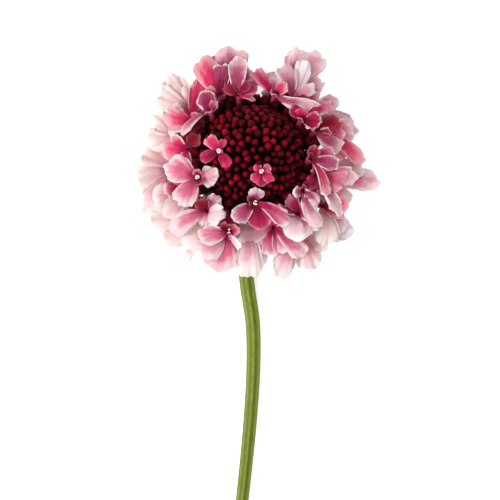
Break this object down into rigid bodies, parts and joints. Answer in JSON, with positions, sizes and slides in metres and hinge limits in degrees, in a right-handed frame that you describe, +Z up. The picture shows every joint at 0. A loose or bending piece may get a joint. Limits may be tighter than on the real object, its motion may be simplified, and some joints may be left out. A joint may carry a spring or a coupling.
{
  "type": "cut scabiosa",
  "caption": "Pincushion flower lying face up: a dome of closed dark florets ringed by frilled petals, on a long bent green stem.",
  "frame": {"origin": "on the surface the flower lies on, under the middle of its bounding box", "axes": "+Z up from the surface; the stem lies towards -Y with its cut end there, and the flower's face looks up and leans 17 degrees towards +Y"},
  "size_m": [0.0632, 0.155, 0.0319],
  "materials": {
    "stem": "satin",
    "bract": "matte",
    "closed_florets": "satin",
    "ray_petal": "matte",
    "inner_petal": "matte",
    "disc_petal": "matte"
  },
  "bodies": {
    "root": {"stem": "stem", "pincushion": "closed_florets", "bract_1": "bract", "bract_2": "bract", "bract_3": "bract", "bract_4": "bract", "bract_5": "bract", "bract_6": "bract", "bract_7": "bract", "bract_8": "bract", "bract_9": "bract", "ray_floret_low_1": "ray_petal", "ray_floret_low_2": "ray_petal", "ray_floret_low_3": "ray_petal", "ray_floret_low_4": "ray_petal", "ray_floret_low_5": "ray_petal", "ray_floret_low_6": "ray_petal", "ray_floret_low_7": "ray_petal", "ray_floret_low_8": "ray_petal", "ray_floret_high_1": "ray_petal", "ray_floret_high_2": "ray_petal", "ray_floret_high_3": "ray_petal", "ray_floret_high_4": "ray_petal", "ray_floret_high_5": "ray_petal", "ray_floret_high_6": "ray_petal", "ray_floret_high_7": "ray_petal", "ray_floret_high_8": "ray_petal", "inner_floret_low_1": "inner_petal", "inner_floret_low_2": "inner_petal", "inner_floret_low_3": "inner_petal", "inner_floret_low_4": "inner_petal", "inner_floret_low_5": "inner_petal", "inner_floret_low_6": "inner_petal", "inner_floret_low_7": "inner_petal", "inner_floret_low_8": "inner_petal", "inner_floret_low_9": "inner_petal", "inner_floret_high_1": "inner_petal", "inner_floret_high_2": "inner_petal", "inner_floret_high_3": "inner_petal", "inner_floret_high_4": "inner_petal", "inner_floret_high_5": "inner_petal", "inner_floret_high_6": "inner_petal", "inner_floret_high_7": "inner_petal", "inner_floret_high_8": "inner_petal", "disc_floret_1": "disc_petal", "disc_floret_2": "disc_petal"}
  },
  "joints": []
}
